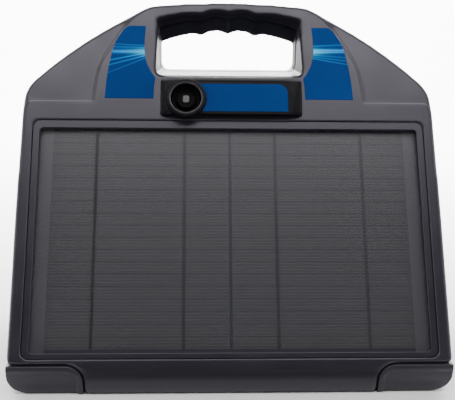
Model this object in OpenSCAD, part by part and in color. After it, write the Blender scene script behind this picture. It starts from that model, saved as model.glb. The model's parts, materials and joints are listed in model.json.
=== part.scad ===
// Portable solar fence energizer: a wedge-shaped housing with a carry handle, a solar module on
// its leaning face, a push button, and a battery, pulse circuit and two output terminals behind.
// Frame: origin on the floor under the middle of the base. +X to the right when facing the solar
// module, +Y towards the rear wall, +Z up. Units are millimetres.

/* [Housing] */
// Width across the side walls
body_width = 300; // [280:1:320]
// Depth from the front lip to the rear wall
body_depth = 150; // [140:1:160]
// Lean of the solar face back from the vertical, in degrees
lean = 30; // [25:0.5:35]
// Height of the lower edge of the module recess above the floor
recess_z = 25.5; // [22:0.5:30]
// Distance of that edge behind the front lip
recess_y = 4; // [2:0.5:8]
// Length of the leaning face from the recess edge to the top of the grip
face_length = 263; // [250:1:275]
// Radius of the rounded front lip
lip_radius = 24; // [18:1:30]
// Wall thickness
wall = 2.8; // [2:0.1:4]
// Height by which the module surround and the middle panel stand above the wings
step = 1.5; // [0.5:0.1:3]
// Distance of the joint between the shells in front of the rear wall
rear_shell_depth = 13; // [10:0.5:18]

/* [Handle] */
// Width of the handle opening at the front
opening_width = 108.5; // [95:0.5:115]
// Narrowing of the opening towards the rear, on each side
opening_draft = 4; // [0:0.5:6]
// Height of the opening's floor above the ground
opening_z = 201.3; // [195:0.1:210]
// Distance of the front of the grip's underside along the leaning face
grip_s = 254.3; // [250:0.1:256]
// Slope of the underside towards the rear, in degrees
grip_slope = 9; // [0:0.5:12]
// Fall of the grip's underside from the middle to the ends
grip_sag = 7; // [3:0.5:9]
// Height of the ridges between the fingers
ridge_height = 1.9; // [0:0.1:4]
// Spacing of the ridges
ridge_pitch = 20.4; // [18:0.1:24]

/* [Solar module] */
// Width of the recess
module_width = 281.2; // [270:0.2:285]
// Length of the recess along the leaning face
module_length = 168.6; // [160:0.2:175]
// Width of the surround's visible strip
bezel_strip = 4.7; // [3:0.1:8]
// Depth of the module's cover below the face
cover_depth = 5; // [2:0.1:6]
// Depth of the surround below the face
bezel_drop = 1.2; // [0:0.1:2]
// Corner radius of the recess
module_corner = 5.5; // [2:0.5:10]
// Corner radius of the window in the surround
window_corner = 3; // [1:0.5:6]
// Length of a cell strip
cell_length = 125.4; // [100:0.2:130]
// Pitch of the cell strips
cell_pitch = 8.64; // [6:0.01:12]
// Gap between the two columns
column_gap = 2.4; // [1:0.1:6]

/* [Button] */
// Position of the button across the body
button_x = -31.6; // [-40:0.1:40]
// Position of the button along the leaning face
button_s = 183; // [175:0.1:190]
// Outer radius of the collar
collar_radius = 14.4; // [12:0.1:18]
// Radius of the push button
button_radius = 10.8; // [8:0.1:12]
// Travel of the push button
button_travel = 1.5; // [0.5:0.1:3]

/* [Battery] */
// Battery block, width, depth and height
battery_size = [151, 65, 94];
// Left side of the battery
battery_x = -96; // [-110:1:-80]
// Front of the battery
battery_y = -3; // [-10:1:5]

/* [Terminals] */
// Position of the fence terminal across the body
fence_x = 90; // [80:1:100]
// Position of the earth terminal across the body
earth_x = 122; // [110:1:130]
// Height of the terminals
terminal_z = 46; // [35:1:60]
// Radius of the terminal studs
stud_radius = 3; // [2:0.5:4]
// Radius of the clamp knobs
knob_radius = 11; // [8:0.5:14]

/* [Hidden] */
$fn = 48;

half_w = body_width / 2;
y_front = -body_depth / 2;
y_rear = body_depth / 2;
y_face = y_front + recess_y;
y_split = y_rear - rear_shell_depth;
far = 400;

// panel recess
pocket_depth = 9.8;
clear = 0.15;
foot_gap = 0.6;
foot_border = 4.6;
foot_dip = 1.3;
foot_corner = 12;
base_corner = 15;
bezel_w = module_width - 2 * clear;
bezel_l = module_length - 2 * clear;
cover_t = 2;
ribbon_t = 0.1;
cell_t = 0.3;
ribbon_w = 2.4;
rows = 18;
cells_s0 = (module_length - rows * cell_pitch) / 2;

// control housing
boss_h = 5;
boss_fall = 6.5;
collar_h = 8;
guide_depth = 9;
running = 0.05;

// shell joint
flange = 7;
flange_t = 4;
gasket_t = 1.4;
screw_r = 1.75;
screw_head_r = 3.6;
screw_seat_y = y_rear - 7;
screw_end_y = y_split - 14;
screw_points = [for (x = [-140, 140]) for (z = [12, 112]) [x, z],
                [-132, 178], [132, 178], [-76, 222], [76, 222]];

// battery door
door_t = 2.3;
door_y = y_rear - door_t;
door_x0 = battery_x - 3.5;
door_x1 = battery_x + battery_size[0] + 3.5;
door_z0 = 8;
door_z1 = 110;
door_lap = 4.5;
hinge_x = door_x0 - 7;
hinge_y = y_rear - 3;
hinge_r = 2.6;
pin_r = 1.25;
barrel_z0 = 20;
barrel_z1 = 98;
latch_x = door_x1 - 7.5;
latch_z = 59;

// rear terminal bay
bay_x0 = fence_x - 16;
bay_x1 = earth_x + 13;
bay_z0 = terminal_z - 22;
bay_z1 = terminal_z + 24;
bay_y = y_rear - 26;
clamp_y = bay_y + 7;
washer_t = 1.2;
knob_h = 11;
nut_t = 3;
stud_y0 = bay_y - wall - nut_t - 3;
stud_y1 = y_rear - 3;

// circuit board
board = [72, 1.6, 72];
board_x = 60;
board_y = 40;
board_z = 79;
keyhole_x = 60;
keyhole_z = 166;
keyhole_r = 5;
keyhole_slot_r = 2.6;

// colours
plastic = [0.33, 0.31, 0.33];
dark = [0.10, 0.10, 0.11];
rubber = [0.16, 0.16, 0.17];
blue = [0.02, 0.29, 0.53];
metal = [0.72, 0.72, 0.74];

// ---------- helpers ----------
// local x across, y up the leaning face, z out of it
module on_face() translate([0, y_face, recess_z]) rotate([90 - lean, 0, 0]) children();

// flat shape drawn as seen from the front, pushed from y0 to y1
module along_y(y0, y1) translate([0, y1, 0]) rotate([90, 0, 0]) linear_extrude(y1 - y0) children();

module block(a, b) translate(a) cube(b - a);

function arc(c, r, a0, a1, n) = [for (i = [0 : n]) let (a = a0 + (a1 - a0) * i / n)
                                 c + r * [cos(a), sin(a)]];
function mirrored(p) = [for (i = [len(p) - 1 : -1 : 0]) [-p[i][0], p[i][1]]];

module wire(points, r) for (i = [0 : len(points) - 2]) {
    v = points[i + 1] - points[i];
    length = norm(v);
    translate(points[i]) rotate([0, acos(v[2] / length), atan2(v[1], v[0])])
        cylinder(h = length, r = r, $fn = 16);
    if (i > 0) translate(points[i]) sphere(r = r + 0.08, $fn = 16);
}

// ---------- housing shape ----------
// right half of the face outline: crown of the grip, shoulder, corner and side
crown_r = 465;
shoulder_r = 312.6;
outline_right = concat(
    arc([0, face_length - crown_r], crown_r, 90, 83.3, 5),
    arc([51.9, 238.1], 22, 80, 63.2, 3),
    arc([half_w - 229, -21.4], shoulder_r, 62, 45.1, 8),
    arc([half_w - 25.2, 182.9], 24, 42, 0, 6),
    [[half_w, 99], [half_w, -60]]);
outline = concat(mirrored(outline_right), outline_right);

module outline_flat(inset) offset(delta = -inset) polygon(outline);

function face_y(s, n) = y_face + s * sin(lean) - n * cos(lean);
function face_z(s, n) = recess_z + s * cos(lean) + n * sin(lean);

// height of the lip's centre, so that its rounding runs into the leaning face and the front limit
lip_z = recess_z + (lip_radius * (cos(lean) - 1) - recess_y * cos(lean)) / sin(lean);

// side view of the wedge, set in from the walls and from the leaning face
module side_view(inset, face_inset) {
    y1 = y_rear - inset;
    s1 = face_length + 5;
    n1 = (y_face + s1 * sin(lean) - y1) / cos(lean);
    r = lip_radius - inset;
    low = asin((lip_z - inset) / r);
    steps = inset == 0 ? 20 : 8;
    difference() {
        polygon(concat(arc([y_front + lip_radius, lip_z], r, 180 + low, 180 - lean, steps),
                       [[face_y(s1, -inset), face_z(s1, -inset)], [y1, face_z(s1, n1)], [y1, inset]]));
        if (face_inset > inset) translate([y_face, recess_z]) rotate(90 - lean)
            translate([-far, -face_inset]) square(2 * far);
    }
}

// front view with the rounded lower corners
module front_view(inset) {
    r = base_corner - min(inset, 12);
    w = half_w - inset;
    polygon(concat([[w, far]], arc([w - r, inset + r], r, 0, -90, 8),
                   mirrored(arc([w - r, inset + r], r, 0, -90, 8)), [[-w, far]]));
}

module body(inset = 0, face_inset = 0) intersection() {
    on_face() translate([0, 0, -250]) linear_extrude(300) outline_flat(inset);
    rotate([90, 0, 90]) translate([0, 0, -far / 2]) linear_extrude(far)
        side_view(inset, face_inset);
    along_y(-far / 2, far / 2) front_view(inset);
}

// solid zone around the handle opening, grown by e
module handle_zone(e) {
    w = opening_width / 2 + e;
    block([-w, -far / 2, opening_z - e], [w, far / 2, far]);
}

// inside space, set in from every outer wall and from the opening's walls
module inside(inset) difference() {
    body(inset, inset + step);
    handle_zone(inset);
}

function grip_line(x) = grip_s - grip_sag * pow(x / 52, 2)
    - ridge_height * (exp(-pow(x / 4.2, 2)) + exp(-pow((x - ridge_pitch) / 4.2, 2))
                      + exp(-pow((x + ridge_pitch) / 4.2, 2)));

// opening: scalloped under the grip, flat floor, sides narrowing to the rear
module handle_opening() intersection() {
    on_face() translate([0, grip_s, 0]) rotate([-grip_slope, 0, 0]) translate([0, -grip_s, -90])
        linear_extrude(130) polygon(concat(
        [for (x = [-56 : 1.6 : 56]) [x, grip_line(x)]], [[56, 60], [-56, 60]]));
    hull() {
        opening_plate(20, opening_width / 2 + 1);
        opening_plate(y_rear + 5, opening_width / 2 - opening_draft);
    }
}

module opening_plate(y, w) along_y(y, y + 0.01) translate([-w, opening_z])
    polygon(concat(arc([5, 5], 5, 270, 180, 6), [[0, 90], [2 * w, 90]],
                   arc([2 * w - 5, 5], 5, 360, 270, 6)));

// raised surround of the module and raised middle panel, as flat shapes on the face
saddle_right = [[66, 275], [66, 257], [69.3, 253.8], [72.1, 250.2], [76.4, 243.2], [80.6, 236],
                [86.2, 227.1], [91.1, 218.3], [94.4, 210.4], [96.5, 200.8], [97.6, 191.4],
                [98, 184], [98, 150]];
module raised_flat() {
    polygon(concat(mirrored(saddle_right), saddle_right));
    polygon(concat([[half_w + 5, -80]], [[half_w + 5, 176]],
                   arc([half_w - 8, 178], 5, 0, 90, 5), mirrored(arc([half_w - 8, 178], 5, 0, 90, 5)),
                   [[-half_w - 5, 176], [-half_w - 5, -80]]));
}

module wing_cut() on_face() difference() {
    translate([-far / 2, 100, -step]) cube([far, 300, 20]);
    translate([0, 0, -20]) linear_extrude(60) raised_flat();
}

// lower front corner, seen from the front, where a foot wraps the shell
foot_x = 98.5;
foot_top = 21.8;
foot_t = 3.2;
foot_depth = 42;
module foot_zone(side, gap = 0) scale([side, 1, 1]) along_y(y_front - 5, y_front + foot_depth - gap)
    polygon(concat([[far, -5], [far, foot_top - gap]],
                   arc([foot_x + foot_corner, foot_top - foot_corner], foot_corner - gap, 90, 180, 6),
                   [[foot_x + gap, -5]]));

// wrapped corner with a shallow dip inside its border
module foot(side) difference() {
    intersection() {
        foot_zone(side, foot_gap);
        difference() {
            body();
            body(foot_t, foot_t);
        }
    }
    difference() {
        foot_zone(side, foot_border);
        translate([0, foot_dip, 0]) body();
    }
}

module rounded(w, s0, s1, r) polygon(concat(
    arc([w / 2 - r, s1 - r], r, 0, 90, 6), arc([r - w / 2, s1 - r], r, 90, 180, 6),
    arc([r - w / 2, s0 + r], r, 180, 270, 6), arc([w / 2 - r, s0 + r], r, 270, 360, 6)));

module module_pocket(e = 0, depth = pocket_depth) on_face() translate([0, 0, -depth])
    linear_extrude(depth + 40)
        rounded(module_width + 2 * e, -e, module_length + e, module_corner + e);

// ---------- shells ----------
module front_shell() color(plastic) difference() {
    union() {
        difference() {
            body();
            difference() {
                union() {
                    intersection() {
                        inside(wall);
                        block([-far, -far, 0], [far, y_split - flange_t, far]);
                    }
                    intersection() {
                        inside(flange);
                        block([-far, 0, 0], [far, y_split + 1, far]);
                    }
                }
                module_pocket(wall, pocket_depth + wall);
                for (side = [-1, 1]) intersection() {
                    foot_zone(side, -wall);
                    difference() {
                        body();
                        body(foot_t + wall, foot_t + wall);
                    }
                }
                on_face() translate([button_x, button_s, -12]) cylinder(h = 20, r = 16);
            }
        }
        intersection() {
            body(wall / 2, wall / 2);
            union() {
                for (p = screw_points) translate([p[0], y_split, p[1]]) rotate([90, 0, 0])
                    cylinder(h = 26, r = 5);
                for (x = [battery_x + 15, battery_x + battery_size[0] / 2 - 2,
                          battery_x + battery_size[0] - 19])
                    block([x, battery_y, wall / 2], [x + 4, y_split - flange_t, flange]);
                for (x = [battery_x - 4, battery_x + battery_size[0] + 1])
                    block([x, battery_y, wall / 2], [x + 3, y_split - 12, 30]);
            }
        }
    }
    block([-far, y_split, -5], [far, far, far]);
    wing_cut();
    module_pocket();
    on_face() translate([-33, 104, -40]) cube([66, 46, 40]);
    handle_opening();
    for (side = [-1, 1]) intersection() {
        foot_zone(side);
        difference() {
            translate([0, 0, -0.5]) scale([1.01, 1.01, 1]) body(-0.5, -0.5);
            body(foot_t, foot_t);
        }
    }
    on_face() translate([button_x, button_s, -40]) cylinder(h = 60, r = button_radius + 2);
    for (p = screw_points) translate([p[0], y_split + 1, p[1]]) rotate([90, 0, 0])
        cylinder(h = 15, r = screw_r, $fn = 24);
}

module rear_shell() color(plastic) difference() {
    union() {
        difference() {
            intersection() {
                body();
                block([-far, y_split, 0], [far, far, far]);
            }
            intersection() {
                inside(wall);
                block([-far, y_split + flange_t, 0], [far, far, far]);
            }
            intersection() {
                inside(flange);
                block([-far, y_split - 1, 0], [far, y_split + flange_t + 1, far]);
            }
        }
        intersection() {
            body(wall / 2, wall / 2);
            union() {
                for (p = screw_points) translate([p[0], y_rear - 1, p[1]]) rotate([90, 0, 0])
                    cylinder(h = rear_shell_depth - 1, r = 6);
                block([door_x0 - 8, y_rear - 6.5, door_z0 - 5], [door_x1 + 8, y_rear - 1, door_z1 + 8]);
                block([hinge_x - 8, y_rear - 10, door_z0 - 5], [door_x0 - 0.5, y_rear - 1, door_z1 + 8]);
            }
        }
        difference() {
            block([bay_x0 - wall, bay_y - wall, bay_z0 - wall],
                  [bay_x1 + wall, y_rear - 1, bay_z1 + wall]);
            block([-far, -far, -far], [far, y_rear - wall, bay_z0 - 20]);
        }
        for (x = [board_x + 5, board_x + board[0] - 5]) for (z = [board_z + 5, board_z + board[2] - 5])
            translate([x, y_rear - 1, z]) rotate([90, 0, 0])
                cylinder(h = y_rear - 1 - board_y - board[1], r = 3.2, $fn = 24);
    }
    handle_opening();
    // door seat, opening and hinge slot
    block([door_x0 - door_lap, door_y - 0.1, door_z0 - door_lap],
          [door_x1 + door_lap, far, door_z1 + door_lap]);
    block([door_x0, 0, door_z0], [door_x1, far, door_z1]);
    difference() {
        block([hinge_x - 5, hinge_y - 3.4, door_z0 - door_lap], [hinge_x + 3, far, door_z1 + door_lap]);
        for (z = [barrel_z0 - 8.2, barrel_z1 + 0.2]) {
            translate([hinge_x, hinge_y, z]) cylinder(h = 8, r = hinge_r);
            block([hinge_x - hinge_r, hinge_y - 4, z], [hinge_x + hinge_r, hinge_y, z + 8]);
        }
    }
    translate([hinge_x, hinge_y, barrel_z0 - 8]) cylinder(h = barrel_z1 - barrel_z0 + 16, r = pin_r);
    door_seal_ring();
    // terminal bay and stud holes
    block([bay_x0, bay_y, bay_z0], [bay_x1, far, bay_z1]);
    for (x = [fence_x, earth_x]) translate([x, y_rear, terminal_z]) rotate([90, 0, 0])
        cylinder(h = 60, r = stud_radius);
    // housing screws and board screws
    for (p = screw_points) translate([p[0], 0, p[1]]) rotate([-90, 0, 0]) {
        cylinder(h = far, r = screw_r, $fn = 24);
        translate([0, 0, screw_seat_y]) cylinder(h = 20, r = screw_head_r + 0.4, $fn = 32);
    }
    for (x = [board_x + 5, board_x + board[0] - 5]) for (z = [board_z + 5, board_z + board[2] - 5])
        translate([x, board_y, z]) rotate([-90, 0, 0]) cylinder(h = 12, r = 1.4, $fn = 24);
    // keyhole slots
    for (x = [-keyhole_x, keyhole_x]) {
        translate([x, y_rear + 1, keyhole_z]) rotate([90, 0, 0]) cylinder(h = 8, r = keyhole_r);
        translate([x, y_rear + 1, keyhole_z + 12]) rotate([90, 0, 0])
            cylinder(h = 8, r = keyhole_slot_r, $fn = 32);
        block([x - keyhole_slot_r, y_rear - 7, keyhole_z],
              [x + keyhole_slot_r, y_rear + 1, keyhole_z + 12]);
    }
    gasket_ring();
}

module gasket_ring() intersection() {
    difference() {
        inside(3.8);
        inside(6);
    }
    block([-far, y_split, 0], [far, y_split + gasket_t, far]);
}

module shell_gasket() color(dark) difference() {
    gasket_ring();
    for (p = screw_points) translate([p[0], 0, p[1]]) rotate([-90, 0, 0])
        cylinder(h = far, r = screw_r + 0.3, $fn = 24);
}

module housing_screws() color(metal) for (p = screw_points) translate([p[0], 0, p[1]])
    rotate([-90, 0, 0]) {
        translate([0, 0, screw_end_y]) cylinder(h = screw_seat_y - screw_end_y, r = screw_r, $fn = 24);
        translate([0, 0, screw_seat_y]) difference() {
            cylinder(h = 2.4, r = screw_head_r, $fn = 32);
            for (a = [0, 90]) rotate(a) translate([-2.2, -0.4, 1.2]) cube([4.4, 0.8, 2]);
        }
    }

module corner_foot_left() color(rubber) foot(-1);
module corner_foot_right() color(rubber) foot(1);

// ---------- solar module ----------
module on_module(n) on_face() translate([0, 0, n]) children();

module module_sheet(n, t) on_module(n) linear_extrude(t)
    rounded(bezel_w, clear, clear + bezel_l, module_corner - clear);

module panel_bezel() color(plastic) difference() {
    module_sheet(-cover_depth, cover_depth - bezel_drop);
    on_module(-20) linear_extrude(40)
        rounded(bezel_w - 2 * bezel_strip, clear + bezel_strip - 1, clear + bezel_l - bezel_strip - 1,
                window_corner);
}

module panel_cover() color([0.5, 0.55, 0.6, 0.35]) module_sheet(-cover_depth - cover_t, cover_t);

module solar_cells() color([0.11, 0.11, 0.13])
    on_module(-cover_depth - cover_t - ribbon_t - cell_t)
        for (side = [0, 1]) for (row = [0 : rows - 1])
            translate([side == 0 ? -column_gap / 2 - cell_length : column_gap / 2,
                       cells_s0 + row * cell_pitch + 0.25, 0])
                cube([cell_length, cell_pitch - 0.5, cell_t]);

module cell_ribbons() color([0.2, 0.2, 0.22]) on_module(-cover_depth - cover_t - ribbon_t)
    for (side = [-1, 1]) for (q = [1, 3])
        translate([side * (column_gap / 2 + cell_length * q / 4) - ribbon_w / 2, cells_s0, 0])
            cube([ribbon_w, rows * cell_pitch, ribbon_t]);

module panel_backing() color(dark)
    module_sheet(-pocket_depth, pocket_depth - cover_depth - cover_t - ribbon_t - cell_t);

module panel_junction_box() color(dark) on_module(-pocket_depth - 14)
    translate([-30, 106, 0]) difference() {
        cube([60, 42, 14]);
        for (x = [-0.01, 59.01]) translate([x, 18, -0.01]) cube([1, 6, 4]);
    }

jb_n = -pocket_depth - 14;
module panel_leads() color([0.6, 0.08, 0.06]) for (k = [0, 1])
    let (x = 20 - 6 * k, s = 128, y = face_y(s, jb_n), z = face_z(s, jb_n))
        wire([[x, y, z], [x, y + 6 * cos(lean), z - 6 * sin(lean)], [board_x + 8 + 6 * k, 32, 128],
              [board_x + 8 + 6 * k, board_y, 128]], 0.9);

// ---------- button and controls ----------
// outline of the housing, drawn in at the top and sides by e
module boss_flat(e) {
    x0 = -50.5 + e * 1.1;
    x1 = 53 - e * 1.1;
    top = 202 - e;
    r = 3 + e * 1.8;
    polygon(concat(arc([x0 + 3.5, 175], 3.5, 180, 270, 4), arc([x1 - 3.5, 175], 3.5, 270, 360, 4),
                   arc([x1 - r, top - r], r, 0, 90, 6), arc([x0 + r, top - r], r, 90, 180, 6)));
}

module control_housing() color(dark) on_face() difference() {
    union() {
        for (i = [0 : 4]) linear_extrude(boss_h * (0.44 + 0.14 * i))
            boss_flat(boss_fall * pow(i / 4, 1.4));
        translate([button_x, button_s, 0]) cylinder(h = collar_h, r = collar_radius);
        translate([button_x, button_s, -guide_depth]) cylinder(h = guide_depth + 1, r = button_radius + 2);
    }
    translate([button_x, button_s, -guide_depth - 1])
        cylinder(h = 40, r = button_radius + running, $fn = 64);
}

module power_button() color([0.05, 0.05, 0.06]) on_face() translate([button_x, button_s, 0])
    difference() {
        rotate_extrude($fn = 64) polygon([[0, -4], [button_radius, -4], [button_radius, 3.6],
            [9.8, 4.2], [9.0, 4.2], [8.6, 3.2], [8.0, 3.2], [7.7, 5], [6.9, 5.4], [6.2, 4.6],
            [4.6, 4.4], [0, 4.4]]);
        translate([0, 0, 3.4]) linear_extrude(10) window_flat();
        translate([0, 0, -5]) cylinder(h = 3, r = 3);
    }

module window_flat() offset(r = 1.2) square([2, 2.8], center = true);

module button_window() color([0.62, 0.62, 0.64]) on_face() translate([button_x, button_s, 3.4])
    linear_extrude(1.3) window_flat();

module switch_plunger() color(metal) on_face() translate([button_x, button_s, -7.5])
    cylinder(h = 5.5, r = 3, $fn = 32);

module switch_body() color(dark) on_face() translate([button_x, button_s, -14.5])
    difference() {
        union() {
            cylinder(h = 5.5, r = button_radius + 2);
            translate([-8, -8, -6]) cube([16, 16, 7]);
        }
        translate([0, 0, 0.5]) cylinder(h = 10, r = 3 + running, $fn = 32);
    }

// ---------- labels ----------
label_t = 0.25;
label_outer = [[74, 242.2], [77.7, 239.2], [81.3, 233.5], [84, 227.9], [86, 220.6], [88, 210.5],
               [89.4, 199], [90.3, 185]];
label_inner = [[55.2, 185], [54.9, 195], [54, 201.2], [57.6, 206.2], [60.3, 212], [61.8, 218],
               [62.4, 224.5], [62.2, 232.5], [61.5, 242.2]];
module label_side(side) color(blue) on_face() scale([side, 1, 1]) linear_extrude(label_t)
    polygon(concat(label_outer, label_inner));

module label_left() label_side(-1);
module label_right() label_side(1);
module label_center() color(blue) on_face() translate([0, 0, boss_h]) linear_extrude(label_t)
    difference() {
        polygon(concat([[-25, 173.6], [41.8, 173.6]], arc([35.3, 188.1], 6.5, 0, 90, 5),
                       [[-25, 194.6]]));
        translate([button_x, button_s]) circle(r = collar_radius + 0.4);
    }

// ---------- rear door ----------
module battery_door() color(plastic) difference() {
    union() {
        block([hinge_x, door_y, door_z0 - door_lap + 0.5],
              [door_x1 + door_lap - 0.5, y_rear, door_z1 + door_lap - 0.5]);
        translate([hinge_x, hinge_y, barrel_z0]) cylinder(h = barrel_z1 - barrel_z0, r = hinge_r);
        translate([latch_x, door_y + 1, latch_z]) rotate([90, 0, 0]) cylinder(h = 3, r = 6);
    }
    for (z = [[-5, barrel_z0], [barrel_z1, far]])
        block([hinge_x - 5, 0, z[0]], [hinge_x + 3.4, far, z[1]]);
    translate([hinge_x, hinge_y, 0]) cylinder(h = 200, r = pin_r + running);
    translate([latch_x, far, latch_z]) rotate([90, 0, 0]) cylinder(h = far, r = 3 + running);
    translate([latch_x, y_rear + 1, latch_z]) rotate([90, 0, 0]) cylinder(h = 2.2, r = 8.2);
    for (i = [0 : 5]) block([door_x0 + 14, y_rear - 0.8, 26 + i * 5], [door_x0 + 44, far, 28 + i * 5]);
}

module door_seal_ring() block_ring(1.2, 3.2, door_y - 1.3, door_y - 0.1);

// rectangular ring around the door opening, from inner gap a to outer gap b
module block_ring(a, b, y0, y1) difference() {
    block([door_x0 - b, y0, door_z0 - b], [door_x1 + b, y1, door_z1 + b]);
    block([door_x0 - a, y0 - 1, door_z0 - a], [door_x1 + a, y1 + 1, door_z1 + a]);
}

module door_seal() color(dark) door_seal_ring();

module door_hinge_pin() color(metal) translate([hinge_x, hinge_y, barrel_z0 - 8])
    cylinder(h = barrel_z1 - barrel_z0 + 16, r = pin_r);

latch_end = 15;
module door_latch() color(rubber) translate([latch_x, 0, latch_z]) difference() {
    union() {
        rotate([-90, 0, 0]) translate([0, 0, y_rear - 1.1]) cylinder(h = 1, r = 7.8);
        rotate([-90, 0, 0]) translate([0, 0, y_rear - 9]) cylinder(h = 8.5, r = 3);
        block([-3, y_rear - 9, -3], [3, y_rear - 6.7, latch_end]);
    }
    block([-0.7, y_rear - 0.9, -6], [0.7, far, 6]);
}

// ---------- battery ----------
battery_z = flange;
module battery() color([0.14, 0.15, 0.17]) difference() {
    block([battery_x, battery_y, battery_z],
          [battery_x, battery_y, battery_z] + battery_size);
    for (x = [battery_x, battery_x + battery_size[0]])
        translate([x - 0.6, battery_y - 1, battery_z + battery_size[2] - 12])
            cube([1.2, battery_size[1] + 2, 1.2]);
}

terminal_x = battery_x + battery_size[0] - 9;
terminal_y = [battery_y + 10, battery_y + battery_size[1] - 10];
terminal_top = battery_z + battery_size[2] + 6;
module battery_terminals() color(metal) for (y = terminal_y)
    block([terminal_x - 3.1, y - 0.4, battery_z + battery_size[2]],
          [terminal_x + 3.1, y + 0.4, terminal_top]);

module battery_lead_red() color([0.65, 0.08, 0.06]) battery_lead(0);
module battery_lead_black() color(dark) battery_lead(1);
module battery_lead(i) {
    x = board_x + 10 + 12 * i;
    y = 12 + 10 * i;
    z = terminal_top + 6 + 5 * i;
    wire([[terminal_x, terminal_y[i], terminal_top], [terminal_x, terminal_y[i], z],
          [terminal_x + 12, y, z], [x, y, terminal_top - 8], [x, board_y, terminal_top - 8]], 1.3);
}

// ---------- electronics ----------
module circuit_board() color([0.05, 0.30, 0.16]) difference() {
    block([board_x, board_y, board_z], [board_x, board_y, board_z] + board);
    for (x = [board_x + 5, board_x + board[0] - 5]) for (z = [board_z + 5, board_z + board[2] - 5])
        translate([x, 0, z]) rotate([-90, 0, 0]) cylinder(h = 100, r = 1.4, $fn = 24);
}

module board_screws() color(metal)
    for (x = [board_x + 5, board_x + board[0] - 5]) for (z = [board_z + 5, board_z + board[2] - 5])
        translate([x, 0, z]) rotate([-90, 0, 0]) {
            translate([0, 0, board_y]) cylinder(h = 10, r = 1.4, $fn = 24);
            translate([0, 0, board_y - 2]) cylinder(h = 2, r = 2.6, $fn = 24);
        }

board_back = board_y + board[1];
module pulse_transformer() color([0.75, 0.55, 0.20]) {
    block([106, board_back, 96], [129, board_back + 24, 132]);
    block([111, board_back, 90], [124, board_back + 20, 96]);
    block([111, board_back, 132], [124, board_back + 20, 138]);
}

module storage_capacitors() color([0.12, 0.16, 0.45]) for (x = [74, 95])
    translate([x, board_back + 10, 95]) cylinder(h = 36, r = 10);

module fence_lead() color([0.65, 0.08, 0.06]) output_lead(fence_x);
module earth_lead() color([0.10, 0.35, 0.12]) output_lead(earth_x);
module output_lead(x) wire([[x, board_y, 90], [x, board_y - 6, 90],
                            [x, stud_y0 - 6, terminal_z], [x, stud_y0, terminal_z]], 1.3);

// ---------- output terminals ----------
module at_terminal(x, y) translate([x, y, terminal_z]) rotate([-90, 0, 0]) children();

module stud(x) color(metal) at_terminal(x, stud_y0)
    cylinder(h = stud_y1 - stud_y0, r = stud_radius);
module fence_stud() stud(fence_x);
module earth_stud() stud(earth_x);

module stud_nuts() color(metal) for (x = [fence_x, earth_x]) {
    at_terminal(x, bay_y - wall - nut_t) hex_nut();
    at_terminal(x, bay_y) hex_nut();
}
module hex_nut() difference() {
    cylinder(h = nut_t, r = 5.8, $fn = 6);
    translate([0, 0, -1]) cylinder(h = nut_t + 2, r = stud_radius);
}

module washer(x) color(metal) at_terminal(x, clamp_y) difference() {
    cylinder(h = washer_t, r = 7);
    translate([0, 0, -1]) cylinder(h = washer_t + 2, r = stud_radius + running);
}
module fence_washer() washer(fence_x);
module earth_washer() washer(earth_x);

module knob(x) at_terminal(x, clamp_y + washer_t) difference() {
    union() {
        cylinder(h = 3, r = 7.5);
        translate([0, 0, 3]) cylinder(h = knob_h - 3, r = knob_radius);
    }
    translate([0, 0, -1]) cylinder(h = knob_h + 2, r = stud_radius + running);
    for (i = [0 : 11]) rotate(i * 30) translate([knob_radius + 0.6, 0, 3.5])
        cylinder(h = knob_h, r = 1.5, $fn = 16);
}
module fence_knob() color([0.62, 0.07, 0.06]) knob(fence_x);
module earth_knob() color([0.08, 0.35, 0.14]) knob(earth_x);

front_shell();
rear_shell();
shell_gasket();
housing_screws();
corner_foot_left();
corner_foot_right();
panel_bezel();
panel_cover();
solar_cells();
cell_ribbons();
panel_backing();
panel_junction_box();
panel_leads();
control_housing();
power_button();
button_window();
switch_plunger();
switch_body();
label_left();
label_right();
label_center();
battery_door();
door_seal();
door_hinge_pin();
door_latch();
battery();
battery_terminals();
battery_lead_red();
battery_lead_black();
circuit_board();
board_screws();
pulse_transformer();
storage_capacitors();
fence_stud();
earth_stud();
stud_nuts();
fence_washer();
earth_washer();
fence_knob();
earth_knob();
fence_lead();
earth_lead();
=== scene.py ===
import json
import math

import bpy
import numpy as np
from mathutils import Matrix, Vector

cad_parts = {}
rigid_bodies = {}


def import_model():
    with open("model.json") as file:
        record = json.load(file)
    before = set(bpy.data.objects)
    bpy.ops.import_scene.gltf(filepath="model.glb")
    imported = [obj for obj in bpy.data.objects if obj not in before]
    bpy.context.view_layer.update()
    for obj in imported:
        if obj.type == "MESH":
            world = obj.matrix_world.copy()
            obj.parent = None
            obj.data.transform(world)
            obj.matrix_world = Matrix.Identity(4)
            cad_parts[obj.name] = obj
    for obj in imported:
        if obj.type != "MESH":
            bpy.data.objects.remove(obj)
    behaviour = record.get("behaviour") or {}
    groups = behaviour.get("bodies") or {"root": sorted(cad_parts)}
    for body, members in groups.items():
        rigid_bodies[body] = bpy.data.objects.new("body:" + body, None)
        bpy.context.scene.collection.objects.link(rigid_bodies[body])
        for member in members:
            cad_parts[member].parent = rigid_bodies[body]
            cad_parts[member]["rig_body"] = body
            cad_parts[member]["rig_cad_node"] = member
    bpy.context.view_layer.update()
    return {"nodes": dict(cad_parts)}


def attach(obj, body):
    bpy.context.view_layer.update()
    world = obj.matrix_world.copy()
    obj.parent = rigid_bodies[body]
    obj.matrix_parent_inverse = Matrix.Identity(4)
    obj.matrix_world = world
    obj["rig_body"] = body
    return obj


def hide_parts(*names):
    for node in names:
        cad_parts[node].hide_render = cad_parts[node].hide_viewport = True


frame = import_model()
NODES = frame["nodes"]

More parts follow.
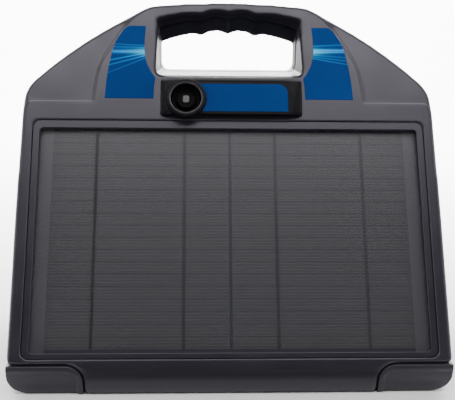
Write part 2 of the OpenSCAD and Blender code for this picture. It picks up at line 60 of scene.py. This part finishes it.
# ---------------------------------------------------------------- the leaning face
LEAN = math.radians(30)
FACE_Y, FACE_Z = -0.071, 0.0255  # foot of the face
U = Vector((0, math.sin(LEAN), math.cos(LEAN)))  # up the face
N = Vector((0, -math.cos(LEAN), math.sin(LEAN)))  # out of the face
FACE = Matrix(((1, 0, 0), (0, U.y, U.z), (0, N.y, N.z))).transposed().to_4x4()
FACE.translation = (0, FACE_Y, FACE_Z)

# places on the object, in metres
OPENING_HALF = 0.060  # half the width of the zone around the handle opening
OPENING_FLOOR_Z = 0.200
GRIP_UNDERSIDE_Z = 0.217
LIP_FRONT_Y = -0.064  # the front lip lies before this depth
# height and half width of the band of painted shade above the front lip
LIP_BAND_Z, LIP_BAND_HALF = 0.0150, 0.0046
CELLS_HALF = 0.1264  # half the width over both columns of cells
SHOULDER_UP = 0.1975  # the painted highlight on the control housing's upper shoulder starts here, up the face
# COLLAR_RIM_R is the radius of the painted highlight ring on the collar's rim
COLLAR_ACROSS, COLLAR_UP, COLLAR_RIM_R = -0.0316, 0.183, 0.0114
FINGER_PITCH = 0.00216  # collecting lines of the cells
LABEL_INNER, LABEL_WIDTH = 0.054, 0.036  # of the outer labels, across the face

# colours, linear
# painted shade: near black on the underside of the grip
GRIP_PAINTED_SHADE = (0.010, 0.010, 0.013)
# painted shade: the dark band above the front lip
LIP_PAINTED_SHADE = (0.003, 0.0027, 0.004)
GAP_SHADE = (0.026, 0.026, 0.046)
# painted highlight on the control housing's upper shoulder and collar rim
SHOULDER_PAINTED_HIGHLIGHT = (0.0160, 0.0148, 0.0190)
SHELL_GLOSS = (0.93, 0.89, 1.0)
BEAM_BLUE, GLOW_BLUE = (0.02, 0.40, 1.0), (0.06, 0.78, 1.0)


def face_coords(co):
    """Points in metres, as millimetres across, up and out of the leaning face."""
    p = (co - np.array([0, FACE_Y, FACE_Z])) * 1000
    return p[:, 0], p @ np.array(U), p @ np.array(N)


# ---------------------------------------------------------------- shader nodes
def material(name):
    m = bpy.data.materials.new(name)
    m.use_nodes = True
    nt = m.node_tree
    return m, nt, nt.nodes["Principled BSDF"]


def shared(nt, kind):
    """The material's one node of a kind that has no settings."""
    found = [n for n in nt.nodes if n.bl_idname == kind]
    return found[0] if found else nt.nodes.new(kind)


def coords(nt):
    return shared(nt, "ShaderNodeTexCoord").outputs["Object"]


def axes(nt, vector):
    n = nt.nodes.new("ShaderNodeSeparateXYZ")
    nt.links.new(vector, n.inputs[0])
    return n.outputs


def noise(nt, scale, detail=4.0, rough=0.5, vector=None):
    n = nt.nodes.new("ShaderNodeTexNoise")
    n.inputs["Scale"].default_value = scale
    n.inputs["Detail"].default_value = detail
    n.inputs["Roughness"].default_value = rough
    nt.links.new(vector if vector else coords(nt), n.inputs["Vector"])
    return n.outputs["Fac"]


def ramp(nt, value, stops):
    n = nt.nodes.new("ShaderNodeValToRGB")
    nt.links.new(value, n.inputs["Fac"])
    e = n.color_ramp.elements
    for item, (pos, c) in zip(e, stops):
        item.position = pos
        item.color = (*c, 1) if isinstance(c, tuple) else (c, c, c, 1)
    return n.outputs["Color"]


def math_node(nt, op, *args):
    n = nt.nodes.new("ShaderNodeMath")
    n.operation = op
    for i, a in enumerate(args):
        if isinstance(a, (int, float)):
            n.inputs[i].default_value = a
        else:
            nt.links.new(a, n.inputs[i])
    return n.outputs[0]


def least(nt, first, *others):
    for other in others:
        first = math_node(nt, "MINIMUM", first, other)
    return first


def clamp(nt, value):
    n = nt.nodes.new("ShaderNodeClamp")
    nt.links.new(value, n.inputs["Value"])
    return n.outputs[0]


def slope(nt, value, zero, steep):
    """A straight line that is 0 where the value is zero and climbs by steep for each unit."""
    return math_node(nt, "MULTIPLY_ADD", value, steep, -steep * zero)


def gauss(nt, value, width):
    square = math_node(nt, "POWER", math_node(nt, "DIVIDE", value, width), 2.0)
    return math_node(nt, "EXPONENT", math_node(nt, "MULTIPLY", square, -1.0))


def mix(nt, fac, a, b):
    n = nt.nodes.new("ShaderNodeMix")
    n.data_type = "RGBA"
    for socket, v in ((n.inputs["Factor"], fac), (n.inputs[6], a), (n.inputs[7], b)):
        if isinstance(v, (int, float)):
            socket.default_value = v
        elif isinstance(v, tuple):
            socket.default_value = (*v, 1)
        else:
            nt.links.new(v, socket)
    return n.outputs[2]


def bump(nt, shader, height, strength, distance):
    b = nt.nodes.new("ShaderNodeBump")
    b.inputs["Strength"].default_value = strength
    b.inputs["Distance"].default_value = distance
    nt.links.new(height, b.inputs["Height"])
    nt.links.new(b.outputs["Normal"], shader.inputs["Normal"])


def face_vector(nt):
    """Object coordinates turned into the leaning face's own x, y and z."""
    v = nt.nodes.new("ShaderNodeVectorMath")
    v.operation = "SUBTRACT"
    nt.links.new(coords(nt), v.inputs[0])
    v.inputs[1].default_value = (0, FACE_Y, FACE_Z)
    r = nt.nodes.new("ShaderNodeVectorRotate")
    r.rotation_type = "X_AXIS"
    r.inputs["Angle"].default_value = -(math.pi / 2 - LEAN)
    nt.links.new(v.outputs[0], r.inputs["Vector"])
    return r.outputs[0]


# ---------------------------------------------------------------- zones of the mouldings
def near_opening(nt, lowest):
    """Above 0 around the handle opening from the height given."""
    pos = axes(nt, shared(nt, "ShaderNodeNewGeometry").outputs["Position"])
    across = math_node(nt, "ABSOLUTE", pos["X"])
    return least(nt, slope(nt, pos["Z"], lowest, 400.0), slope(nt, across, OPENING_HALF, -500.0))


def grip_painted_shade_mask(nt):
    """Mask that is 1 on the underside of the grip, where near-black painted shade goes into the
    colour.
    """
    facing = nt.nodes.new("ShaderNodeVectorMath")
    facing.operation = "DOT_PRODUCT"
    nt.links.new(shared(nt, "ShaderNodeNewGeometry").outputs["Normal"], facing.inputs[0])
    facing.inputs[1].default_value = tuple(U)
    under = slope(nt, facing.outputs["Value"], -0.02, -5.0)
    return clamp(nt, least(nt, near_opening(nt, GRIP_UNDERSIDE_Z), under))


def opening_walls(nt):
    """Mask for the matt side walls and floor of the handle opening."""
    facing = axes(nt, shared(nt, "ShaderNodeNewGeometry").outputs["Normal"])
    wall = slope(nt, math_node(nt, "ABSOLUTE", facing["X"]), 0.55, 4.0)
    floor_part = slope(nt, facing["Z"], 0.65, 4.0)
    aside = math_node(nt, "MAXIMUM", wall, floor_part)
    mask = clamp(nt, least(nt, near_opening(nt, OPENING_FLOOR_Z), aside))
    return math_node(nt, "MULTIPLY", mask, 0.985)


def lip_painted_shade_mask(nt):
    """Mask for the band of painted shade where the leaning face rolls over into the front lip."""
    pos = axes(nt, coords(nt))
    front = clamp(nt, slope(nt, pos["Y"], LIP_FRONT_Y, -300.0))
    band = gauss(nt, math_node(nt, "SUBTRACT", pos["Z"], LIP_BAND_Z), LIP_BAND_HALF)
    return math_node(nt, "MULTIPLY", math_node(nt, "MULTIPLY", band, front), 0.9)


def shell_zones(nt, col, spec):
    """Painted shade under the grip and on the band above the front lip, and matt walls, on the
    shells.
    """
    # inner is the grip's underside, which gets painted shade; band is the painted shade above the
    # front lip
    inner = grip_painted_shade_mask(nt)
    band = lip_painted_shade_mask(nt)
    col = mix(nt, band, mix(nt, inner, col, GRIP_PAINTED_SHADE), LIP_PAINTED_SHADE)
    dull = math_node(nt, "MAXIMUM", math_node(nt, "MAXIMUM", inner, opening_walls(nt)),
                     math_node(nt, "MULTIPLY", band, 0.6))
    return col, math_node(nt, "MULTIPLY", math_node(nt, "SUBTRACT", 1.0, dull), spec)


def housing_painted_highlights(nt, col, spec):
    """Painted highlights on the control housing's upper shoulder and collar rim, as light as the
    shell, with a higher specular level there.
    """
    pos = axes(nt, face_vector(nt))
    top = clamp(nt, slope(nt, pos["Y"], SHOULDER_UP, 600.0))
    across = math_node(nt, "SUBTRACT", pos["X"], COLLAR_ACROSS)
    up = math_node(nt, "SUBTRACT", pos["Y"], COLLAR_UP)
    radius = math_node(nt, "SQRT", math_node(nt, "ADD", math_node(nt, "MULTIPLY", across, across),
                                             math_node(nt, "MULTIPLY", up, up)))
    # rim is a painted highlight ring on the collar; top and rim are lightened in colour and made
    # glossier
    rim = gauss(nt, math_node(nt, "SUBTRACT", radius, COLLAR_RIM_R), 0.0005)
    outer = math_node(nt, "MAXIMUM", top, rim)
    return (mix(nt, outer, col, SHOULDER_PAINTED_HIGHLIGHT),
            math_node(nt, "MULTIPLY_ADD", outer, 0.6 - spec, spec))


def sheet_zones(nt, col, spec):
    """The backing sheet is darker between the cells than at the module's margins."""
    across = math_node(nt, "ABSOLUTE", axes(nt, coords(nt))["X"])
    return mix(nt, math_node(nt, "LESS_THAN", across, CELLS_HALF), col, GAP_SHADE), None


# ---------------------------------------------------------------- materials
def plastic(name, colour, rough=0.45, grain=0.25, speck=0.06, spec=0.5, tint=(1, 1, 1),
            zones=None):
    """Moulded plastic with a broad and a fine variation of colour and a fine grain."""
    m, nt, s = material(name)
    light = tuple(c * (1 + speck) for c in colour)
    deep = tuple(c * (1 - speck) for c in colour)
    broad = ramp(nt, noise(nt, 18, 3), [(0.3, deep), (0.7, light)])
    fine = ramp(nt, noise(nt, 2600, 2, 0.6), [(0.35, deep), (0.65, light)])
    col = mix(nt, 0.35, broad, fine)
    s.inputs["Specular IOR Level"].default_value = spec
    s.inputs["Specular Tint"].default_value = (*tint, 1)
    if zones:
        col, gloss = zones(nt, col, spec)
        if gloss:
            nt.links.new(gloss, s.inputs["Specular IOR Level"])
    nt.links.new(col, s.inputs["Base Color"])
    nt.links.new(ramp(nt, noise(nt, 40, 5), [(0.3, rough - 0.04), (0.7, rough + 0.05)]),
                 s.inputs["Roughness"])
    bump(nt, s, noise(nt, 1900, 3, 0.6), grain, 0.00006)
    return m


def metal(name, colour, rough):
    m, nt, s = material(name)
    s.inputs["Metallic"].default_value = 1.0
    worn = tuple(c * 0.85 for c in colour)
    nt.links.new(ramp(nt, noise(nt, 60), [(0.3, worn), (0.7, colour)]), s.inputs["Base Color"])
    nt.links.new(ramp(nt, noise(nt, 300), [(0.2, rough - 0.08), (0.8, rough + 0.1)]),
                 s.inputs["Roughness"])
    bump(nt, s, noise(nt, 900, 3), 0.15, 0.00003)
    return m


def cell_material():
    """Dark silicon with fine collecting lines and a grain drawn out along the strips."""
    m, nt, s = material("solar cell")
    local = face_vector(nt)
    stretch = nt.nodes.new("ShaderNodeMapping")
    stretch.inputs["Scale"].default_value = (0.22, 1, 1)
    nt.links.new(local, stretch.inputs["Vector"])
    dark = (0.034, 0.033, 0.038)
    streak = ramp(nt, noise(nt, 1500, 3, 0.7, stretch.outputs[0]),
                  [(0.38, dark), (0.66, (0.108, 0.105, 0.118))])
    grain = ramp(nt, noise(nt, 1900, 3, 0.7), [(0.37, dark), (0.68, (0.104, 0.101, 0.113))])
    wave = math_node(nt, "SINE", math_node(nt, "MULTIPLY", axes(nt, local)["Y"],
                                           2 * math.pi / FINGER_PITCH))
    line = ramp(nt, math_node(nt, "MULTIPLY_ADD", wave, 0.5, 0.5),
                [(0.50, (0.054, 0.052, 0.059)), (0.95, (0.112, 0.109, 0.122))])
    nt.links.new(mix(nt, 0.4, mix(nt, 0.5, streak, grain), line), s.inputs["Base Color"])
    s.inputs["Roughness"].default_value = 0.42
    s.inputs["Specular IOR Level"].default_value = 0.3
    return m


# per side, the height of the middle beam and for each beam its start above that, its slope
# outwards, half width and strength
BEAMS = {
    -1: (0.2214, ((0.0002, 0.0, 0.0013, 0.80), (0.0006, -0.22, 0.0005, 0.60),
                  (-0.0008, -0.29, 0.00045, 0.55), (-0.0016, -0.44, 0.0004, 0.25),
                  (0.0046, 0.05, 0.00045, 0.30), (0.0030, 0.03, 0.0006, 0.30))),
    1: (0.2228, ((0.0012, 0.01, 0.0008, 1.0), (-0.0006, 0.02, 0.0008, 0.90),
                 (0.0040, 0.06, 0.0005, 0.35), (-0.0032, -0.12, 0.0004, 0.35),
                 (-0.0040, -0.18, 0.0004, 0.40), (-0.0022, -0.07, 0.0005, 0.30))),
}


def label_material(side):
    """Blue film with beams of light that fan out from the inner edge. side 0 is plain."""
    m, nt, s = material(f"blue label {side}")
    col = ramp(nt, noise(nt, 14, 2), [(0.3, (0.0, 0.031, 0.145)), (0.7, (0.0, 0.038, 0.172))])
    if side:
        pos = axes(nt, face_vector(nt))
        inner = math_node(nt, "SUBTRACT", pos["X"], side * LABEL_INNER)
        out = math_node(nt, "MULTIPLY", inner, side)
        middle, beams = BEAMS[side]
        up = math_node(nt, "SUBTRACT", pos["Y"], middle)
        fade = ramp(nt, math_node(nt, "DIVIDE", out, LABEL_WIDTH), [(0.25, 1.0), (1.0, 0.55)])
        for start, tilt, width, strength in beams:
            off = math_node(nt, "SUBTRACT", up, math_node(nt, "MULTIPLY_ADD", out, tilt, start))
            amount = math_node(nt, "MULTIPLY", gauss(nt, off, width), fade)
            col = mix(nt, math_node(nt, "MULTIPLY", amount, strength), col, BEAM_BLUE)
        glow = math_node(nt, "MULTIPLY", gauss(nt, up, 0.0026), gauss(nt, out, 0.0130))
        col = mix(nt, math_node(nt, "MULTIPLY", glow, 0.80), col, GLOW_BLUE)
    nt.links.new(col, s.inputs["Base Color"])
    nt.links.new(ramp(nt, noise(nt, 90, 3), [(0.3, 0.42), (0.7, 0.50)]), s.inputs["Roughness"])
    s.inputs["Specular IOR Level"].default_value = 0.04
    bump(nt, s, noise(nt, 700, 2), 0.05, 0.00003)
    return m


def cover_material():
    """Clear film over the cells, with a soft sheen."""
    m, nt, s = material("module cover")
    s.inputs["Base Color"].default_value = (0.05, 0.05, 0.055, 1)
    nt.links.new(ramp(nt, noise(nt, 120), [(0.3, 0.27), (0.7, 0.32)]), s.inputs["Roughness"])
    s.inputs["Specular IOR Level"].default_value = 0.9
    s.inputs["Specular Tint"].default_value = (0.97, 0.94, 1.0, 1)
    s.inputs["Alpha"].default_value = 0.24
    return m


# ---------------------------------------------------------------- softened copies
SMOOTH_STEP = 0.6  # how far a point moves to the mean of its neighbours in one round


def soften(name, voxel, rounds, weight):
    """A copy of a CAD node with its edges rounded as a moulding's are. weight gives, for each
    point, the share of the rounds that it is smoothed in."""
    src = NODES[name]
    ob = src.copy()
    ob.data = src.data.copy()
    ob.parent = None
    ob.name = name + "_moulded"
    bpy.context.scene.collection.objects.link(ob)
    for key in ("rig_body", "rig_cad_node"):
        if key in ob:
            del ob[key]
    mod = ob.modifiers.new("remesh", "REMESH")
    mod.mode = "VOXEL"
    mod.voxel_size = voxel
    bpy.context.view_layer.update()
    dg = bpy.context.evaluated_depsgraph_get()
    me = bpy.data.meshes.new_from_object(ob.evaluated_get(dg))
    ob.modifiers.clear()
    ob.data = me
    co = np.empty(len(me.vertices) * 3, np.float32)
    me.vertices.foreach_get("co", co)
    co = co.reshape(-1, 3).astype(float)
    ed = np.empty(len(me.edges) * 2, np.int32)
    me.edges.foreach_get("vertices", ed)
    a, b = ed[0::2], ed[1::2]
    neighbours = np.bincount(a, minlength=len(co)) + np.bincount(b, minlength=len(co))
    w = weight(co)
    for i in range(rounds):
        mean = np.zeros_like(co)
        for k in range(3):
            mean[:, k] = np.bincount(a, co[b, k], len(co)) + np.bincount(b, co[a, k], len(co))
        mean /= np.maximum(neighbours, 1)[:, None]
        share = np.clip(w * rounds - i, 0, 1)[:, None] * SMOOTH_STEP
        co += (mean - co) * share
    me.vertices.foreach_set("co", co.astype(np.float32).ravel())
    me.update()
    me.shade_smooth()
    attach(ob, "housing")
    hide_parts(name)
    return ob


# outline of the face in millimetres: straight sides, an arc on each shoulder and a crown arc
HALF_WIDTH = 150
SHOULDER_X, SHOULDER_S, SHOULDER_R = -79, -21.4, 312.6
CROWN_S, CROWN_R = -202, 465
RIM_WIDTH, RIM_FADE = 7, 4  # the rounded rim inside the outline

# zones of the front shell in millimetres across, up and out of the face
OPENING_EDGE_X, OPENING_EDGE_HALF, OPENING_LOW_S, GRIP_LOW_S = 54, 6, 200, 236
OPENING_FLOOR_MM, OPENING_FLOOR_HALF = 201.3, 5  # heights above the ground
FACE_LOW_S, LIP_DEEP_N = -3, -20
POCKET_HALF_X, POCKET_TOP_S, POCKET_DEEP_N, POCKET_MARGIN = 143, 171, -7, 5

# zones of the control housing in millimetres, across and up the face
FRONT_X0, FRONT_X1, FRONT_TOP_S, FRONT_LOW_S, COLLAR_R = -46, 44, 196, 174, 16.5


def outline_gap(x, s):
    """Distance inside the outline of the face, in millimetres."""
    shoulder = SHOULDER_R - np.hypot(np.abs(x) - SHOULDER_X, s - SHOULDER_S)
    crown = CROWN_R - np.hypot(x, s - CROWN_S)
    return np.minimum(np.minimum(HALF_WIDTH - np.abs(x), shoulder), crown)


def shell_weight(co):
    x, s, n = face_coords(co)
    z = co[:, 2] * 1000
    gap = outline_gap(x, s)
    near = np.abs(x) < OPENING_HALF * 1000
    sides = (np.abs(np.abs(x) - OPENING_EDGE_X) < OPENING_EDGE_HALF) & (s > OPENING_LOW_S)
    floor_edge = near & (np.abs(z - OPENING_FLOOR_MM) < OPENING_FLOOR_HALF)
    lip = (s < FACE_LOW_S) & (n > LIP_DEEP_N)
    w = np.maximum(0.10, np.clip((RIM_WIDTH - gap) / RIM_FADE, 0, 1) * 0.9)
    for zone, share in ((near & (s > GRIP_LOW_S), 0.8), (sides | floor_edge, 0.45), (lip, 0.7)):
        w = np.where(zone, np.maximum(w, share), w)
    pocket = ((np.abs(x) < POCKET_HALF_X) & (s > FACE_LOW_S) & (s < POCKET_TOP_S)
              & (n > POCKET_DEEP_N) & (gap > POCKET_MARGIN))
    return np.where(pocket, 0.03, w)


def rear_weight(co):
    return np.where(outline_gap(*face_coords(co)[:2]) < RIM_WIDTH, 0.8, 0.12)


def foot_weight(co):
    return np.full(len(co), 0.5)


def boss_weight(co):
    """The control housing keeps its flat front and collar crisp."""
    x, s, _ = face_coords(co)
    flat = (x > FRONT_X0) & (x < FRONT_X1) & (s < FRONT_TOP_S) | (s < FRONT_LOW_S)
    collar = np.hypot(x - COLLAR_ACROSS * 1000, s - COLLAR_UP * 1000) < COLLAR_R
    return np.where(collar, 0.12, np.where(flat, 0.06, 0.9))


MOULDED = {
    "front_shell": soften("front_shell", 0.0008, 40, shell_weight),
    "rear_shell": soften("rear_shell", 0.0009, 30, rear_weight),
    "corner_foot_left": soften("corner_foot_left", 0.0005, 12, foot_weight),
    "corner_foot_right": soften("corner_foot_right", 0.0005, 12, foot_weight),
    "control_housing": soften("control_housing", 0.0005, 40, boss_weight),
}

# ---------------------------------------------------------------- finishes
FINISH = {
    plastic("housing plastic", (0.0150, 0.0136, 0.0195), 0.33, 0.35, 0.05, tint=SHELL_GLOSS,
            zones=shell_zones): ["front_shell", "rear_shell", "panel_bezel", "battery_door"],
    plastic("control housing plastic", (0.0030, 0.0029, 0.0042), 0.40, spec=0.09,
            zones=housing_painted_highlights): ["control_housing"],
    plastic("charcoal plastic", (0.0045, 0.0044, 0.0062), 0.42, spec=0.14):
        ["panel_junction_box", "switch_body", "door_latch"],
    plastic("foot rubber", (0.0140, 0.0132, 0.0170), 0.42, 0.4, spec=0.42, tint=SHELL_GLOSS):
        ["corner_foot_left", "corner_foot_right"],
    plastic("black plastic", (0.0018, 0.0018, 0.002), 0.34, 0.15, spec=0.03): ["power_button"],
    plastic("module backing sheet", (0.105, 0.101, 0.122), 0.4, 0.15, spec=0.3,
            zones=sheet_zones): ["panel_backing"],
    plastic("seal rubber", (0.02, 0.02, 0.021), 0.7, 0.4): ["shell_gasket", "door_seal"],
    metal("zinc plated steel", (0.62, 0.62, 0.64), 0.32):
        ["housing_screws", "switch_plunger", "door_hinge_pin", "board_screws", "fence_stud",
         "earth_stud", "stud_nuts", "fence_washer", "earth_washer"],
    metal("tinned brass", (0.66, 0.58, 0.40), 0.3): ["battery_terminals"],
    cell_material(): ["solar_cells"],
    cover_material(): ["panel_cover"],
    label_material(-1): ["label_left"],
    label_material(1): ["label_right"],
    label_material(0): ["label_center"],
    plastic("ribbon under film", (0.036, 0.035, 0.043), 0.4, 0.1, spec=0.2): ["cell_ribbons"],
    plastic("pale window", (0.085, 0.085, 0.09), 0.4, 0.1, spec=0.3): ["button_window"],
    plastic("red insulation", (0.45, 0.02, 0.015), 0.4, 0.1):
        ["panel_leads", "battery_lead_red", "fence_lead"],
    plastic("black insulation", (0.02, 0.02, 0.02), 0.4, 0.1): ["battery_lead_black"],
    plastic("green insulation", (0.02, 0.16, 0.05), 0.4, 0.1): ["earth_lead"],
    plastic("battery case", (0.045, 0.048, 0.055), 0.45, 0.3): ["battery"],
    plastic("board laminate", (0.01, 0.12, 0.045), 0.35, 0.2): ["circuit_board"],
    plastic("winding tape", (0.55, 0.32, 0.05), 0.4, 0.2): ["pulse_transformer"],
    plastic("capacitor sleeve", (0.015, 0.03, 0.16), 0.3, 0.1): ["storage_capacitors"],
    plastic("red knob", (0.38, 0.012, 0.01), 0.32, 0.2): ["fence_knob"],
    plastic("green knob", (0.01, 0.14, 0.035), 0.32, 0.2): ["earth_knob"],
}
for mat, names in FINISH.items():
    for name in names:
        for ob in filter(None, (NODES[name], MOULDED.get(name))):
            ob.data.materials.clear()
            ob.data.materials.append(mat)

# rounded edges of the small parts, by radius in metres
EDGE_RADII = {"panel_bezel": 0.0004, "power_button": 0.00025, "battery_door": 0.0006,
              "battery": 0.0012, "fence_knob": 0.0005, "earth_knob": 0.0005,
              "door_latch": 0.0004, "housing_screws": 0.0002, "label_left": 0.00006,
              "pulse_transformer": 0.0008, "storage_capacitors": 0.0008}
for name, width in EDGE_RADII.items():
    ob = NODES[name]
    ob.modifiers.new("weld", "WELD").merge_threshold = 0.00001
    bevel = ob.modifiers.new("bevel", "BEVEL")
    bevel.width = width
    bevel.segments = 3
    bevel.limit_method = "ANGLE"
    bevel.angle_limit = math.radians(35)
    ob.modifiers.new("normals", "WEIGHTED_NORMAL").keep_sharp = True

# ---------------------------------------------------------------- floor and backdrop
FLOOR_HALF, FLOOR_FRONT = 4.0, -3.0
SWEEP_R, BACK_Y, BACK_TOP = 0.6, 1.6, 3.0
profile = [(FLOOR_FRONT, 0.0)]
profile += [(BACK_Y - SWEEP_R + SWEEP_R * math.sin(t), SWEEP_R - SWEEP_R * math.cos(t))
            for t in np.linspace(0, math.pi / 2, 16)]
profile += [(BACK_Y, BACK_TOP)]
verts = [(x, y, z) for y, z in profile for x in (-FLOOR_HALF, FLOOR_HALF)]
faces = [(2 * i, 2 * i + 1, 2 * i + 3, 2 * i + 2) for i in range(len(profile) - 1)]
floor_mesh = bpy.data.meshes.new("floor")
floor_mesh.from_pydata(verts, [], faces)
floor_mesh.shade_smooth()
floor = bpy.data.objects.new("floor", floor_mesh)
bpy.context.scene.collection.objects.link(floor)
floor_mat, _, floor_shader = material("pale floor")
floor_shader.inputs["Base Color"].default_value = (0.88, 0.88, 0.88, 1)
floor_shader.inputs["Roughness"].default_value = 0.9
floor_shader.inputs["Specular IOR Level"].default_value = 0.0
floor_mesh.materials.append(floor_mat)

# ---------------------------------------------------------------- light
world = bpy.data.worlds.new("studio")
world.use_nodes = True
background = world.node_tree.nodes["Background"]
background.inputs["Color"].default_value = (1, 1, 1, 1)
background.inputs["Strength"].default_value = 0.13
bpy.context.scene.world = world


def area(name, place, target, size, power):
    light = bpy.data.lights.new(name, "AREA")
    light.shape = "RECTANGLE"
    light.size, light.size_y = size
    light.energy = power
    ob = bpy.data.objects.new(name, light)
    ob.location = place
    ob.rotation_euler = (Vector(target) - Vector(place)).to_track_quat("-Z", "Y").to_euler()
    bpy.context.scene.collection.objects.link(ob)


area("overhead", (0, -0.64, 1.45), (0, 0, 0.15), (1.8, 0.6), 20)
for across in (-1.7, 1.7):
    area("side", (across, -0.35, 0.75), (0, 0, 0.12), (1.0, 1.2), 14)
area("backdrop", (0, 0.55, 1.1), (0, 1.7, 0.35), (3.2, 0.5), 330)

# ---------------------------------------------------------------- camera
# the view is given as turns about the face's own axes and as the face's place in millimetres
TURN_Z, TURN_X, TURN_Y = (math.radians(a) for a in (0.47, -14.48, 2.56))
FACE_PLACE = (3.1, -106.9, -539.8)
FACE_PLACE_SCALE = 281.2 / 284.0
SENSOR, FOCAL_PIXELS, PICTURE_WIDTH = 36, 800, 455
turn = (Matrix.Rotation(TURN_Z, 3, "Z") @ Matrix.Rotation(TURN_X, 3, "X")
        @ Matrix.Rotation(TURN_Y, 3, "Y"))
cam_local = turn.transposed().to_4x4()
cam_local.translation = -(turn.transposed() @ (Vector(FACE_PLACE) * 0.001 * FACE_PLACE_SCALE))
cam = bpy.data.cameras.new("camera")
cam.sensor_width = SENSOR
cam.lens = SENSOR * FOCAL_PIXELS / PICTURE_WIDTH
cam.clip_start = 0.01
cam_ob = bpy.data.objects.new("camera", cam)
cam_ob.matrix_world = FACE @ cam_local
bpy.context.scene.collection.objects.link(cam_ob)
bpy.context.scene.camera = cam_ob
